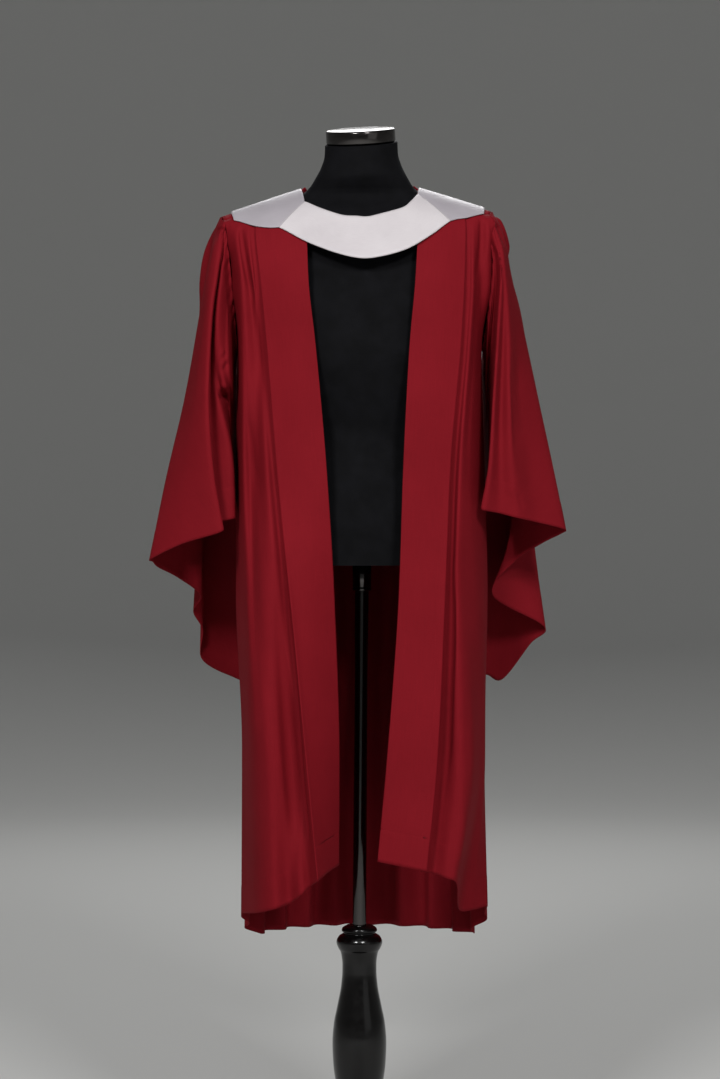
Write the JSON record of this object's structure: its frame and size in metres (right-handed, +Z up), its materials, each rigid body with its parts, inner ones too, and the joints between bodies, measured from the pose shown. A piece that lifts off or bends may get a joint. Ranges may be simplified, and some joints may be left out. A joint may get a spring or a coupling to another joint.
{
  "type": "graduation gown on a dress form",
  "caption": "Open-fronted academic gown with wide bell sleeves and a satin collar, worn by a limbless dress form on a pole and a turned post",
  "frame": {"origin": "under the middle of the stand's base, on the floor that it stands on", "axes": "+Z up the pole; -Y is the way the gown's open front faces; +X is to the right of someone who looks at the front"},
  "size_m": [0.6525, 0.3758, 1.706],
  "materials": {
    "crimson_cloth": "matt plain-woven gown cloth",
    "white_satin": "satin weave with a soft sheen",
    "black_jersey": "matt stretch jersey over the form",
    "polished_chrome": "polished",
    "black_gloss": "gloss lacquer on turned wood"
  },
  "bodies": {
    "root": {"gown_yoke": "crimson_cloth", "gown_back": "crimson_cloth", "front_left": "crimson_cloth", "front_right": "crimson_cloth", "band_left": "crimson_cloth", "band_right": "crimson_cloth", "sleeve_left": "crimson_cloth", "sleeve_right": "crimson_cloth", "collar_back": "crimson_cloth", "collar_front": "white_satin", "collar_shoulder_left": "white_satin", "collar_shoulder_right": "white_satin", "form_torso": "black_jersey", "neck_cap": "polished_chrome", "pole_socket": "polished_chrome", "pole": "polished_chrome", "stand_post": "black_gloss", "stand_base": "black_gloss"}
  },
  "joints": []
}
